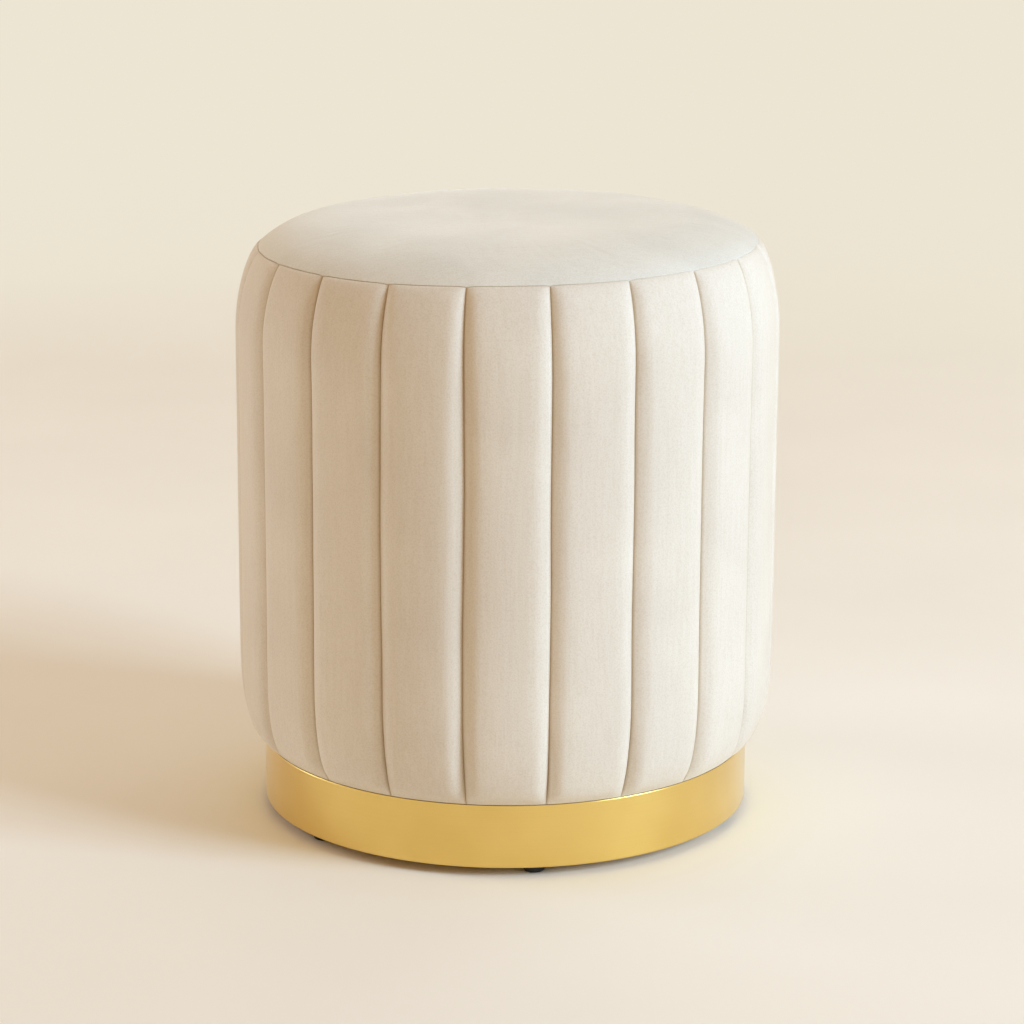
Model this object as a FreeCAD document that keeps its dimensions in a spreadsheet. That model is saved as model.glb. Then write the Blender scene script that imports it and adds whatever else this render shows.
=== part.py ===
"""Round upholstered stool: a channelled velvet drum on a metal-faced plinth.

Lengths are millimetres. The origin lies on the floor under the middle of the
seat, +Z points up and the front of the stool faces -Y. Angles round the stool
are degrees from the front, towards +X.

From the floor up the stool is six glides, a plinth of two plywood rings on
spacer blocks inside a brushed metal band, a drum of two boards on six posts
inside a hardboard wrap, twenty padded channels in a sewn cover, and a crowned
foam seat under its own round panel.
"""
import FreeCAD, Part
import Sketcher
import math
import os

SIZES = (
    ("total_height", 445, "floor to the top of the seat"),
    ("body_diameter", 398, "over the fullest part of the channels"),
    ("clearance", 0.3, "between pieces that fit into or round each other"),
    ("overrun", 5, "by which a cutting shape passes the faces it cuts"),
    ("glide_count", 6, "glides, spacer blocks and posts"),
    ("glide_angle", 7, "from the front to the first glide"),
    ("glide_height", 7, "floor to the underside of the plinth"),
    ("glide_top_diameter", 20, "against the plinth"),
    ("glide_foot_diameter", 15.5, "on the floor"),
    ("glide_inset", 15, "face of the band to the middle of a glide"),
    ("glide_pin_width", 6, "square pin moulded on the glide"),
    ("glide_pin_length", 9, "pressed into the lower ring"),
    ("plinth_inset", 18, "fullest part of the channels to the face of the metal band"),
    ("plinth_height", 46.5, "of the metal band"),
    ("band_thickness", 0.8, "brushed sheet"),
    ("band_joint", 0.4, "open butt joint at the back"),
    ("plinth_board_thickness", 12, "of both plinth rings"),
    ("plinth_board_width", 48, "of both plinth rings"),
    ("block_length", 60, "of a spacer block, along the ring"),
    ("block_width", 34, "of a spacer block, across the ring"),
    ("dust_cover_thickness", 0.6, "black felt under the plinth"),
    ("dust_cover_lap", 14, "felt stapled over the lower ring"),
    ("nail_width", 1.6, "square wire nail"),
    ("nail_length", 40, "square wire nail"),
    ("nail_spacing", 24, "between the two nails of a joint"),
    ("bolt_count", 3, "plinth to drum"),
    ("bolt_diameter", 6, "plinth to drum"),
    ("bolt_length", 26, "under the head"),
    ("bolt_head_width", 10, "across the flats of a head or a nut"),
    ("bolt_head_height", 4, "of a hexagon head"),
    ("bolt_nut_height", 5, "of a hexagon nut"),
    ("channel_count", 20, "round the drum"),
    ("channel_thickness", 21.8, "fullest part of a channel to the drum wrap"),
    ("groove_depth", 8.4, "of the sewn line between two channels"),
    ("shoulder_height", 58, "fullest part of the channels to the top seam"),
    ("tuck_height", 90, "top of the band to the fullest part"),
    ("tuck_depth", 35, "by which the tuck curve draws in"),
    ("pad_end_thickness", 2, "of a channel pad at its corners, at both ends"),
    ("cover_thickness", 1.2, "velvet with its lining"),
    ("hem_width", 18, "cover turned in under the drum"),
    ("seam_land", 4.5, "edge of the side cover that carries the seat panel"),
    ("wrap_thickness", 3, "hardboard round the drum"),
    ("base_board_thickness", 12, "plywood"),
    ("top_board_thickness", 15, "plywood"),
    ("post_width", 45, "along the wrap"),
    ("post_depth", 22, "towards the middle"),
    ("seat_edge_thickness", 35, "top board to the top seam"),
    ("crown_height", 20, "top seam to the top of the seat"),
)

# Squareness of the two end curves of a channel: 2 is an ellipse, more is squarer.
SHOULDER_SQUARENESS = 1.63
TUCK_SQUARENESS = 3.74

# Heights of the sections through a channel, bottom to top of each end curve.
TUCK_SHARES = (0.0, 0.05, 0.15, 0.4, 1.0)
SHOULDER_SHARES = (0.0, 0.45, 0.75, 0.93, 1.0)

# Heights of the sections through a channel pad, between its two ends.
PAD_TUCK_SHARES = TUCK_SHARES[-2:]
PAD_SHOULDER_SHARES = SHOULDER_SHARES[:2]

# Half of the flat front of a channel pad, in its arc from the middle to the side.
PAD_FLAT_SHARE = 0.36

# The crown of the seat, rim to flat middle: shares of its radius and its height.
CROWN_SHARES = ((1.0, 0.0), (0.94, 0.371), (0.84, 0.73), (0.64, 1.0))

# Straight sides of a nut, of the ring openings, of the felt and of the crown over a channel.
NUT_SIDES = 6
OPENING_SIDES = 12
FELT_SIDES = 24
CROWN_SIDES = 3

FULL_TURN = 360
FRONT = -90

# The bolts sit half way between two glides.
BOLT_TURN = "180 / Sizes.glide_count"

doc = FreeCAD.newDocument("round_stool")
sheet = doc.addObject("Spreadsheet::Sheet", "Sizes")
for row, (alias, number, note) in enumerate(SIZES, start=1):
    sheet.set(f"A{row}", alias)
    sheet.set(f"B{row}", str(number))
    sheet.setAlias(f"B{row}", alias)
    sheet.set(f"C{row}", note)
doc.recompute()

# Heights, as expressions on the sheet.
BAND_FOOT = "Sizes.glide_height"
PLINTH_TOP = f"({BAND_FOOT} + Sizes.plinth_height)"
LOWER_RING_TOP = f"({BAND_FOOT} + Sizes.plinth_board_thickness)"
UPPER_RING_FOOT = f"({PLINTH_TOP} - Sizes.plinth_board_thickness)"
BASE_BOARD_FOOT = f"({PLINTH_TOP} + Sizes.cover_thickness)"
BASE_BOARD_TOP = f"({BASE_BOARD_FOOT} + Sizes.base_board_thickness)"
NUT_FOOT = f"({BASE_BOARD_TOP} - Sizes.bolt_nut_height)"
TUCK_TOP = f"({PLINTH_TOP} + Sizes.tuck_height)"
SEAM_HEIGHT = "(Sizes.total_height - Sizes.crown_height)"
SHOULDER_FOOT = f"({SEAM_HEIGHT} - Sizes.shoulder_height)"
TOP_BOARD_TOP = f"({SEAM_HEIGHT} - Sizes.seat_edge_thickness)"
TOP_BOARD_FOOT = f"({TOP_BOARD_TOP} - Sizes.top_board_thickness)"

# Radii, as expressions on the sheet.
BODY_RADIUS = "(Sizes.body_diameter / 2)"
BAND_RADIUS = f"({BODY_RADIUS} - Sizes.plinth_inset)"
BAND_INNER = f"({BAND_RADIUS} - Sizes.band_thickness)"
RING_RADIUS = f"({BAND_INNER} - Sizes.clearance)"
RING_INNER = f"({RING_RADIUS} - Sizes.plinth_board_width)"
RING_MIDDLE = f"({RING_RADIUS} - Sizes.plinth_board_width / 2)"
GLIDE_CIRCLE = f"({BAND_RADIUS} - Sizes.glide_inset)"
DRUM_RADIUS = f"({BODY_RADIUS} - Sizes.channel_thickness)"
WRAP_INNER = f"({DRUM_RADIUS} - Sizes.wrap_thickness)"
BOARD_RADIUS = f"({WRAP_INNER} - Sizes.clearance)"
POST_FACE = f"sqrt({BOARD_RADIUS} ^ 2 - (Sizes.post_width / 2) ^ 2)"
POST_MIDDLE = f"({POST_FACE} - Sizes.post_depth / 2)"
CORE_RADIUS = f"({DRUM_RADIUS} + Sizes.clearance)"
SEAM_RADIUS = f"({CORE_RADIUS} + Sizes.seam_land)"
BOLT_RADIUS = "(Sizes.bolt_diameter / 2)"
BOLT_BORE = f"({BOLT_RADIUS} + Sizes.clearance)"
NAIL_HOLE = "(Sizes.nail_width + 2 * Sizes.clearance)"


def value(expression):
    """The number that an expression on the sheet gives now."""
    result = sheet.evalExpression(expression)
    return float(getattr(result, "Value", result))


def new_body(name):
    """An empty body whose first copy lies over the first glide."""
    body = doc.addObject("PartDesign::Body", name)
    body.Label = name
    body.setExpression("Placement.Rotation.Angle", f"Sizes.glide_angle + {FRONT}")
    return body


def origin_feature(body, role):
    """The origin plane or axis of a body, by its role."""
    return next(part for part in body.Origin.OriginFeatures if part.Role == role)


def flat_sketch(body, name, height, turn="0"):
    """A sketch level with the floor, at a height and turned about the middle."""
    sketch = body.newObject("Sketcher::SketchObject", name)
    sketch.AttachmentSupport = (origin_feature(body, "XY_Plane"), "")
    sketch.MapMode = "FlatFace"
    sketch.setExpression("AttachmentOffset.Base.z", height)
    sketch.setExpression("AttachmentOffset.Rotation.Angle", turn)
    return sketch


def upright_sketch(body, name, distance, height):
    """A sketch on the XZ plane with its own origin out at a distance and up at a height."""
    sketch = body.newObject("Sketcher::SketchObject", name)
    sketch.AttachmentSupport = (origin_feature(body, "XZ_Plane"), "")
    sketch.MapMode = "FlatFace"
    sketch.setExpression("AttachmentOffset.Base.x", distance)
    sketch.setExpression("AttachmentOffset.Base.y", height)
    return sketch


def bind(sketch, expression, kind, *where):
    """Add a dimension to a sketch and tie it to an expression."""
    index = sketch.addConstraint(Sketcher.Constraint(kind, *where, value(expression)))
    sketch.setExpression(f"Constraints[{index}]", expression)


def circle(sketch, radius, distance=None):
    """A circle round the sketch's origin, or out along its X axis."""
    middle = FreeCAD.Vector(value(distance) if distance else 0, 0, 0)
    edge = sketch.addGeometry(Part.Circle(middle, FreeCAD.Vector(0, 0, 1), value(radius)))
    if distance:
        sketch.addConstraint(Sketcher.Constraint("PointOnObject", edge, 3, -1))
        bind(sketch, distance, "DistanceX", -1, 1, edge, 3)
    else:
        sketch.addConstraint(Sketcher.Constraint("Coincident", edge, 3, -1, 1))
    bind(sketch, radius, "Radius", edge)


def outline(sketch, corners):
    """A closed outline of straight lines through (x, y) expressions."""
    points = [FreeCAD.Vector(value(x), value(y), 0) for x, y in corners]
    first = sketch.GeometryCount
    for start, end in zip(points, points[1:] + points[:1]):
        sketch.addGeometry(Part.LineSegment(start, end))
    for step, (x, y) in enumerate(corners):
        line = first + step
        before = first + (step - 1) % len(corners)
        sketch.addConstraint(Sketcher.Constraint("Coincident", before, 2, line, 1))
        bind(sketch, x, "DistanceX", -1, 1, line, 1)
        bind(sketch, y, "DistanceY", -1, 1, line, 1)


def pad(body, sketch, length):
    """Raise a sketch by a length."""
    feature = body.newObject("PartDesign::Pad", sketch.Name + "_pad")
    feature.Profile = sketch
    feature.setExpression("Length", length)
    return feature


def pocket(body, sketch, depth):
    """Cut a sketch upwards by a depth."""
    feature = body.newObject("PartDesign::Pocket", sketch.Name + "_pocket")
    feature.Profile = sketch
    feature.Reversed = True
    feature.setExpression("Length", depth)
    return feature


def turned(body, sketch, kind):
    """Revolve a sketch about its own vertical axis, as a solid or as a cut."""
    feature = body.newObject(kind, sketch.Name + "_turned")
    feature.Profile = sketch
    feature.ReferenceAxis = (sketch, ["V_Axis"])
    feature.Angle = FULL_TURN
    return feature


def polar(body, features, count):
    """Repeat features round the middle of the stool."""
    pattern = body.newObject("PartDesign::PolarPattern", features[0].Name + "_polar")
    pattern.Originals = features
    pattern.Axis = (origin_feature(body, "Z_Axis"), [""])
    pattern.Angle = FULL_TURN
    pattern.setExpression("Occurrences", count)
    body.Tip = pattern


def ring(name, outer, inner, foot, height):
    """A flat or tall ring, standing at a height."""
    body = new_body(name)
    sketch = flat_sketch(body, name + "_section", foot)
    circle(sketch, outer)
    circle(sketch, inner)
    pad(body, sketch, height)
    return body


def board(name, radius, foot, height):
    """A round board, lying at a height."""
    body = new_body(name)
    sketch = flat_sketch(body, name + "_section", foot)
    circle(sketch, radius)
    pad(body, sketch, height)
    return body


def repeat_around(first, stem, count):
    """Name the first piece and add the same piece at the other places round the stool."""
    first.Label = stem + "_1"
    pieces = [first]
    for place in range(1, count):
        piece = doc.addObject("Part::Compound", f"{stem}_{place + 1}")
        piece.Label = f"{stem}_{place + 1}"
        piece.Links = [first]
        piece.setExpression("Placement.Rotation.Angle", f"{FULL_TURN} * {place} / {count}")
        pieces.append(piece)
    return pieces


def rectangle(middle, depth, width, offset="0"):
    """Corners of a rectangle out along X and offset along Y."""
    near = f"{middle} - {depth} / 2"
    far = f"{middle} + {depth} / 2"
    right = f"{offset} - {width} / 2"
    left = f"{offset} + {width} / 2"
    return ((near, right), (far, right), (far, left), (near, left))


def many_sided(middle, width, sides):
    """Corners of a regular outline out along X, from its width across the flats."""
    step = FULL_TURN / sides
    corner = f"{width} / (2 * cos({step / 2}))"
    turns = [step * (place + 1 / 2) for place in range(sides)]
    return [(f"{middle} + {corner} * cos({turn})", f"{corner} * sin({turn})") for turn in turns]


def nail_pair(body, name, distance, width, foot):
    """Sketch of the two nails of a joint, or of their holes, at a height."""
    sketch = flat_sketch(body, name, foot)
    for side in ("-", ""):
        outline(sketch, rectangle(distance, width, width, f"{side}Sizes.nail_spacing / 2"))
    return sketch


def nail_holes(body, name, distance, foot, depth):
    """Holes for the nails of all the joints, cut upwards from a height."""
    sketch = nail_pair(body, name, distance, NAIL_HOLE, foot)
    polar(body, [pocket(body, sketch, depth)], "Sizes.glide_count")


def plinth_band():
    """Brushed metal strip bent round the plinth, with its open butt joint at the back."""
    body = ring("plinth_band", BAND_RADIUS, BAND_INNER, BAND_FOOT, "Sizes.plinth_height")
    body.setExpression("Placement.Rotation.Angle", f"-({FRONT})")
    sketch = flat_sketch(body, "band_joint_section", BAND_FOOT)
    depth = "(Sizes.band_thickness + Sizes.overrun)"
    outline(sketch, rectangle(BAND_RADIUS, depth, "Sizes.band_joint"))
    pocket(body, sketch, "Sizes.plinth_height")
    return body


def plinth_ring(name, foot):
    """Plywood ring, round outside for the metal band and sawn straight inside."""
    body = new_body(name)
    sketch = flat_sketch(body, name + "_section", foot)
    circle(sketch, RING_RADIUS)
    outline(sketch, many_sided("0", f"(2 * {RING_INNER})", OPENING_SIDES))
    pad(body, sketch, "Sizes.plinth_board_thickness")
    return body


def plinth_lower_ring():
    """Lower plywood ring, which takes the pins of the glides and the points of the nails."""
    body = plinth_ring("plinth_lower_ring", BAND_FOOT)
    sketch = flat_sketch(body, "glide_pin_hole", BAND_FOOT)
    width = "(Sizes.glide_pin_width + 2 * Sizes.clearance)"
    outline(sketch, rectangle(GLIDE_CIRCLE, width, width))
    polar(body, [pocket(body, sketch, "Sizes.glide_pin_length + Sizes.clearance")], "Sizes.glide_count")
    points = f"({PLINTH_TOP} - Sizes.nail_length - Sizes.clearance)"
    nail_holes(body, "lower_ring_nail_hole", RING_MIDDLE, points, f"{LOWER_RING_TOP} - {points}")
    return body


def plinth_upper_ring():
    """Upper plywood ring, nailed to the blocks and bolted to the drum."""
    body = plinth_ring("plinth_upper_ring", UPPER_RING_FOOT)
    thickness = "Sizes.plinth_board_thickness"
    nail_holes(body, "upper_ring_nail_hole", RING_MIDDLE, UPPER_RING_FOOT, thickness)
    bolt_holes(body, "upper_ring_bolt_hole", UPPER_RING_FOOT, thickness)
    return body


def bolt_holes(body, name, foot, depth):
    """Round holes for the plinth bolts, cut upwards from a height."""
    sketch = flat_sketch(body, name, foot, BOLT_TURN)
    circle(sketch, BOLT_BORE, RING_MIDDLE)
    polar(body, [pocket(body, sketch, depth)], "Sizes.bolt_count")


def plinth_blocks(count):
    """Spacer blocks between the plinth rings, each over a glide."""
    body = new_body("plinth_block_1")
    sketch = flat_sketch(body, "block_section", LOWER_RING_TOP)
    outline(sketch, rectangle(RING_MIDDLE, "Sizes.block_width", "Sizes.block_length"))
    height = f"{UPPER_RING_FOOT} - {LOWER_RING_TOP}"
    pad(body, sketch, height)
    pocket(body, nail_pair(body, "block_nail_hole", RING_MIDDLE, NAIL_HOLE, LOWER_RING_TOP), height)
    return repeat_around(body, "plinth_block", count)


def plinth_nails():
    """Nails through the upper ring and the blocks into the lower ring."""
    body = new_body("plinth_nails")
    points = f"({PLINTH_TOP} - Sizes.nail_length)"
    sketch = nail_pair(body, "plinth_nail", RING_MIDDLE, "Sizes.nail_width", points)
    polar(body, [pad(body, sketch, "Sizes.nail_length")], "Sizes.glide_count")
    return body


def glides():
    """Tapered plastic glides, each with a moulded pin in the lower ring."""
    body = new_body("glides")
    sketch = upright_sketch(body, "glide_section", GLIDE_CIRCLE, "0")
    corners = (
        ("0", "0"),
        ("Sizes.glide_foot_diameter / 2", "0"),
        ("Sizes.glide_top_diameter / 2", "Sizes.glide_height"),
        ("0", "Sizes.glide_height"),
    )
    outline(sketch, corners)
    foot = turned(body, sketch, "PartDesign::Revolution")
    pin = flat_sketch(body, "glide_pin", BAND_FOOT)
    outline(pin, rectangle(GLIDE_CIRCLE, "Sizes.glide_pin_width", "Sizes.glide_pin_width"))
    polar(body, [foot, pad(body, pin, "Sizes.glide_pin_length")], "Sizes.glide_count")
    return body


def dust_cover():
    """Black felt that closes the plinth from below, inside the circle of glides."""
    body = new_body("dust_cover")
    foot = f"({BAND_FOOT} - Sizes.dust_cover_thickness)"
    sketch = flat_sketch(body, "felt_section", foot)
    width = f"(2 * ({RING_INNER} + Sizes.dust_cover_lap))"
    outline(sketch, many_sided("0", width, FELT_SIDES))
    pad(body, sketch, "Sizes.dust_cover_thickness")
    return body


def plinth_bolts():
    """Hexagon bolts that hold the plinth to the drum."""
    body = new_body("plinth_bolts")
    head_foot = f"({UPPER_RING_FOOT} - Sizes.bolt_head_height)"
    head = flat_sketch(body, "bolt_head", head_foot, BOLT_TURN)
    outline(head, many_sided(RING_MIDDLE, "Sizes.bolt_head_width", NUT_SIDES))
    head_pad = pad(body, head, "Sizes.bolt_head_height")
    shank = flat_sketch(body, "bolt_shank", UPPER_RING_FOOT, BOLT_TURN)
    circle(shank, BOLT_RADIUS, RING_MIDDLE)
    polar(body, [head_pad, pad(body, shank, "Sizes.bolt_length")], "Sizes.bolt_count")
    return body


def bolt_nuts():
    """Hexagon nuts for the plinth bolts, let into the base board from above."""
    body = new_body("bolt_nuts")
    sketch = flat_sketch(body, "nut_section", NUT_FOOT, BOLT_TURN)
    outline(sketch, many_sided(RING_MIDDLE, "Sizes.bolt_head_width", NUT_SIDES))
    circle(sketch, BOLT_BORE, RING_MIDDLE)
    polar(body, [pad(body, sketch, "Sizes.bolt_nut_height")], "Sizes.bolt_count")
    return body


def base_board():
    """Round plywood bottom of the drum, with the nail holes and the seats of the nuts."""
    thickness = "Sizes.base_board_thickness"
    body = board("base_board", BOARD_RADIUS, BASE_BOARD_FOOT, thickness)
    nail_holes(body, "base_nail_hole", POST_MIDDLE, BASE_BOARD_FOOT, thickness)
    bolt_holes(body, "base_bolt_hole", BASE_BOARD_FOOT, thickness)
    sketch = flat_sketch(body, "nut_seat", NUT_FOOT, BOLT_TURN)
    width = "(Sizes.bolt_head_width + 2 * Sizes.clearance)"
    outline(sketch, many_sided(RING_MIDDLE, width, NUT_SIDES))
    polar(body, [pocket(body, sketch, "Sizes.bolt_nut_height")], "Sizes.bolt_count")
    return body


def top_board():
    """Round plywood top of the drum, which carries the seat."""
    thickness = "Sizes.top_board_thickness"
    body = board("top_board", BOARD_RADIUS, TOP_BOARD_FOOT, thickness)
    nail_holes(body, "top_nail_hole", POST_MIDDLE, TOP_BOARD_FOOT, thickness)
    return body


def posts(count):
    """Posts between the two boards, with nail holes in both ends."""
    body = new_body("post_1")
    sketch = flat_sketch(body, "post_section", BASE_BOARD_TOP)
    outline(sketch, rectangle(POST_MIDDLE, "Sizes.post_depth", "Sizes.post_width"))
    pad(body, sketch, f"{TOP_BOARD_FOOT} - {BASE_BOARD_TOP}")
    reach = "(Sizes.nail_length + Sizes.clearance)"
    low = nail_pair(body, "post_low_hole", POST_MIDDLE, NAIL_HOLE, BASE_BOARD_TOP)
    pocket(body, low, f"{BASE_BOARD_FOOT} + {reach} - {BASE_BOARD_TOP}")
    points = f"({TOP_BOARD_TOP} - {reach})"
    high = nail_pair(body, "post_high_hole", POST_MIDDLE, NAIL_HOLE, points)
    pocket(body, high, f"{TOP_BOARD_FOOT} - {points}")
    return repeat_around(body, "post", count)


def frame_nails():
    """Nails through both boards into the ends of the posts."""
    body = new_body("frame_nails")
    width = "Sizes.nail_width"
    length = "Sizes.nail_length"
    low = nail_pair(body, "base_nail", POST_MIDDLE, width, BASE_BOARD_FOOT)
    high = nail_pair(body, "top_nail", POST_MIDDLE, width, f"{TOP_BOARD_TOP} - {length}")
    polar(body, [pad(body, low, length), pad(body, high, length)], "Sizes.glide_count")
    return body


def drum_wrap():
    """Hardboard wrapped round the boards and posts."""
    height = f"{TOP_BOARD_TOP} - {BASE_BOARD_FOOT}"
    return ring("drum_wrap", DRUM_RADIUS, WRAP_INNER, BASE_BOARD_FOOT, height)


def drawn_in(share, squareness):
    """How full a channel is at a share of the way along its end curve, from 0 to 1."""
    return (1 - share**squareness) ** (1 / squareness)


def crest_radius(height):
    """Radius of the fullest line of a channel at a height."""
    full = value(BODY_RADIUS)
    if height > value(SHOULDER_FOOT):
        share = (height - value(SHOULDER_FOOT)) / value("Sizes.shoulder_height")
        seam = value(SEAM_RADIUS)
        return seam + (full - seam) * drawn_in(min(share, 1), SHOULDER_SQUARENESS)
    share = max(value(TUCK_TOP) - height, 0) / value("Sizes.tuck_height")
    depth = value("Sizes.tuck_depth")
    drawn = full - depth + depth * drawn_in(min(share, 1), TUCK_SQUARENESS)
    return max(drawn, lower_edge_radius())


def lower_edge_radius():
    """Radius of the cover where it meets the band."""
    return max(value(BAND_RADIUS), value(CORE_RADIUS) + value("Sizes.cover_thickness"))


def groove_radius(height):
    """Radius of the sewn line between two channels, which fades out at both ends."""
    crest = crest_radius(height)
    full = value(BODY_RADIUS)
    end = value(SEAM_RADIUS) if height > value(SHOULDER_FOOT) else lower_edge_radius()
    return crest - value("Sizes.groove_depth") * (crest - end) / (full - end)


def around(radius, angle, height):
    """Point at a radius, an angle from the front in radians, and a height."""
    return FreeCAD.Vector(radius * math.sin(angle), -radius * math.cos(angle), height)


def channel_wire(height, count):
    """Outline of all the channels at a height, an arc over each channel."""
    crest = crest_radius(height)
    groove = groove_radius(height)
    half = math.pi / count
    arcs = []
    for place in range(count):
        middle = 2 * half * place
        arc = Part.Arc(
            around(groove, middle - half, height),
            around(crest, middle, height),
            around(groove, middle + half, height),
        )
        arcs.append(arc.toShape())
    return Part.Wire(arcs)


def section_heights(tuck_shares, shoulder_shares):
    """Heights of sections through the channels, from shares of their two end curves."""
    tuck = [value(PLINTH_TOP) + share * value("Sizes.tuck_height") for share in tuck_shares]
    rise = value("Sizes.shoulder_height")
    return tuck + [value(SHOULDER_FOOT) + share * rise for share in shoulder_shares]


def height_of_crest(crest, end, squareness):
    """Share of an end curve at which the crest has drawn in to a radius."""
    full = value(BODY_RADIUS)
    fullness = max((crest - end) / (full - end), 0)
    return (1 - fullness**squareness) ** (1 / squareness)


class PadSection:
    """Section of a channel pad, a wall inside the cover and its sewn lines.

    The cover's arc over the channel has its centre on the channel's middle line,
    so the pad is inscribed in an arc of the same centre and one wall less radius:
    a flat front, two chamfers and two sides that run one wall inside the radial
    sewn lines. Towards its ends the pad gets thinner by sliding its front and
    chamfers inwards along the sides, which keeps every face of the pad flat.
    """

    def __init__(self, count, wall, inner):
        crest = value(BODY_RADIUS)
        groove = crest - value("Sizes.groove_depth")
        half = math.pi / count
        centre = (crest**2 - groove**2) / (2 * (crest - groove * math.cos(half)))
        radius = crest - centre - wall
        self.lean = (math.sin(half), math.cos(half))
        self.inset = (-wall * math.cos(half), wall * math.sin(half))
        across = centre * math.sin(half) - wall
        self.side_end = centre * math.cos(half) + math.sqrt(radius**2 - across**2)
        self.side_start = (inner - self.inset[1]) / self.lean[1]
        corner = self.on_side(self.side_end)
        turn = PAD_FLAT_SHARE * math.atan2(corner[0], corner[1] - centre)
        front = (radius * math.sin(turn), centre + radius * math.cos(turn))
        self.chamfer = (front[0] - corner[0], front[1] - corner[1])

    def on_side(self, reach):
        """Point (across, outwards) at a reach along the side of the pad."""
        return (self.inset[0] + reach * self.lean[0], self.inset[1] + reach * self.lean[1])

    def corners(self, height):
        """The six corners at a height."""
        reach = self.side_end - (value(BODY_RADIUS) - crest_radius(height))
        side = self.on_side(reach)
        front = (side[0] + self.chamfer[0], side[1] + self.chamfer[1])
        right = [front, side, self.on_side(self.side_start)]
        left = [(-across, outwards) for across, outwards in reversed(right)]
        return [FreeCAD.Vector(across, -outwards, height) for across, outwards in right + left]

    def ends(self):
        """Heights at which the side of the pad is down to its end thickness."""
        full = value(BODY_RADIUS)
        thin = self.side_start + value("Sizes.pad_end_thickness") / self.lean[1]
        crest = full - (self.side_end - thin)
        tuck = height_of_crest(crest, full - value("Sizes.tuck_depth"), TUCK_SQUARENESS)
        shoulder = height_of_crest(crest, value(SEAM_RADIUS), SHOULDER_SQUARENESS)
        foot = value(TUCK_TOP) - tuck * value("Sizes.tuck_height")
        return foot, value(SHOULDER_FOOT) + shoulder * value("Sizes.shoulder_height")


def flat_sided(rings):
    """Solid with flat faces between rings of corners, closed at both ends."""
    faces = [Part.Face(Part.makePolygon(ring + ring[:1])) for ring in (rings[0], rings[-1])]
    for low, high in zip(rings, rings[1:]):
        for a, b, c, d in zip(low, low[1:] + low[:1], high[1:] + high[:1], high):
            faces.append(Part.Face(Part.makePolygon([a, b, c, d, a])))
    return Part.Solid(Part.makeShell(faces))


def pad_solid(section, ends):
    """Front channel pad through its sections, from one end to the other."""
    foot, top = ends
    between = section_heights(PAD_TUCK_SHARES, PAD_SHOULDER_SHARES)
    return flat_sided([section.corners(height) for height in [foot, *between, top]])


def soft_piece(name, shape):
    """A piece of cloth or foam, from a shape that the sizes on the sheet give."""
    piece = doc.addObject("Part::Feature", name)
    piece.Label = name
    piece.Shape = shape
    return piece


def channel_pads(count):
    """Foam pads that fill the channels."""
    wall = value("Sizes.cover_thickness") + value("Sizes.clearance")
    section = PadSection(count, wall, value(CORE_RADIUS))
    shape = pad_solid(section, section.ends())
    pads = []
    for place in range(count):
        piece = soft_piece(f"channel_pad_{place + 1}", shape.copy())
        piece.setExpression("Placement.Rotation.Angle", f"{FULL_TURN} * {place} / Sizes.channel_count")
        pads.append(piece)
    return pads


def ring_of_corners(radius, height, sides):
    """Corners of a regular ring, with the middle of its first side at the front."""
    half = math.pi / sides
    return [around(radius, (2 * place + 1) * half, height) for place in range(sides)]


def side_cover(count):
    """Velvet sleeve with its sewn channels, open inside each channel and hemmed below.

    The outside is a loft through an arc for each channel, from the band over the
    tuck, the straight barrel and the shoulder to the top seam. Inside, the sleeve
    is pulled flat across each channel, and the pads' pockets leave the outer wall
    and a double wall at each sewn line.
    """
    heights = section_heights(TUCK_SHARES, SHOULDER_SHARES)
    sleeve = Part.makeLoft([channel_wire(height, count) for height in heights], True, True)
    overrun = value("Sizes.overrun")
    corner = value(CORE_RADIUS) / math.cos(math.pi / count)
    core_ends = (value(BASE_BOARD_FOOT), value(SEAM_HEIGHT) + overrun)
    core = flat_sided([ring_of_corners(corner, height, count) for height in core_ends])
    hem_corner = value(BAND_RADIUS) - value("Sizes.hem_width")
    hem_ends = (value(PLINTH_TOP) - overrun, value(PLINTH_TOP) + overrun)
    hem = flat_sided([ring_of_corners(hem_corner, height, count) for height in hem_ends])
    wall = value("Sizes.cover_thickness")
    clearance = value("Sizes.clearance")
    foot, top = PadSection(count, wall + clearance, value(CORE_RADIUS)).ends()
    section = PadSection(count, wall, value(CORE_RADIUS) - wall)
    shape = pad_solid(section, (foot - clearance, top + clearance))
    pockets = []
    for place in range(count):
        pocket_shape = shape.copy()
        pocket_shape.rotate(FreeCAD.Vector(), FreeCAD.Vector(0, 0, 1), FULL_TURN * place / count)
        pockets.append(pocket_shape)
    return soft_piece("side_cover", sleeve.cut([core, hem] + pockets))


def crown_points(drop):
    """Points (radius, height) of the crowned surface of the seat, lowered by drop."""
    radius = value(SEAM_RADIUS)
    seam = value(SEAM_HEIGHT) - drop
    crown = value("Sizes.crown_height")
    return [(across * radius, seam + up * crown) for across, up in CROWN_SHARES]


def rim_at_height(points, height):
    """Crown points with the rim cut off level at a height."""
    (rim, foot), (inner, top) = points[:2]
    share = (height - foot) / (top - foot)
    return [(rim + share * (inner - rim), height), *points[1:]]


def rim_at_radius(points, radius):
    """Crown points with the rim cut off upright at a radius."""
    (rim, foot), (inner, top) = points[:2]
    share = (rim - radius) / (rim - inner)
    return [(radius, foot + share * (top - foot)), *points[1:]]


def crowned_solid(points):
    """Solid with flat sides, a few over each channel, through (radius, height) points."""
    sides = CROWN_SIDES * round(value("Sizes.channel_count"))
    return flat_sided([ring_of_corners(radius, height, sides) for radius, height in points])


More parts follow.
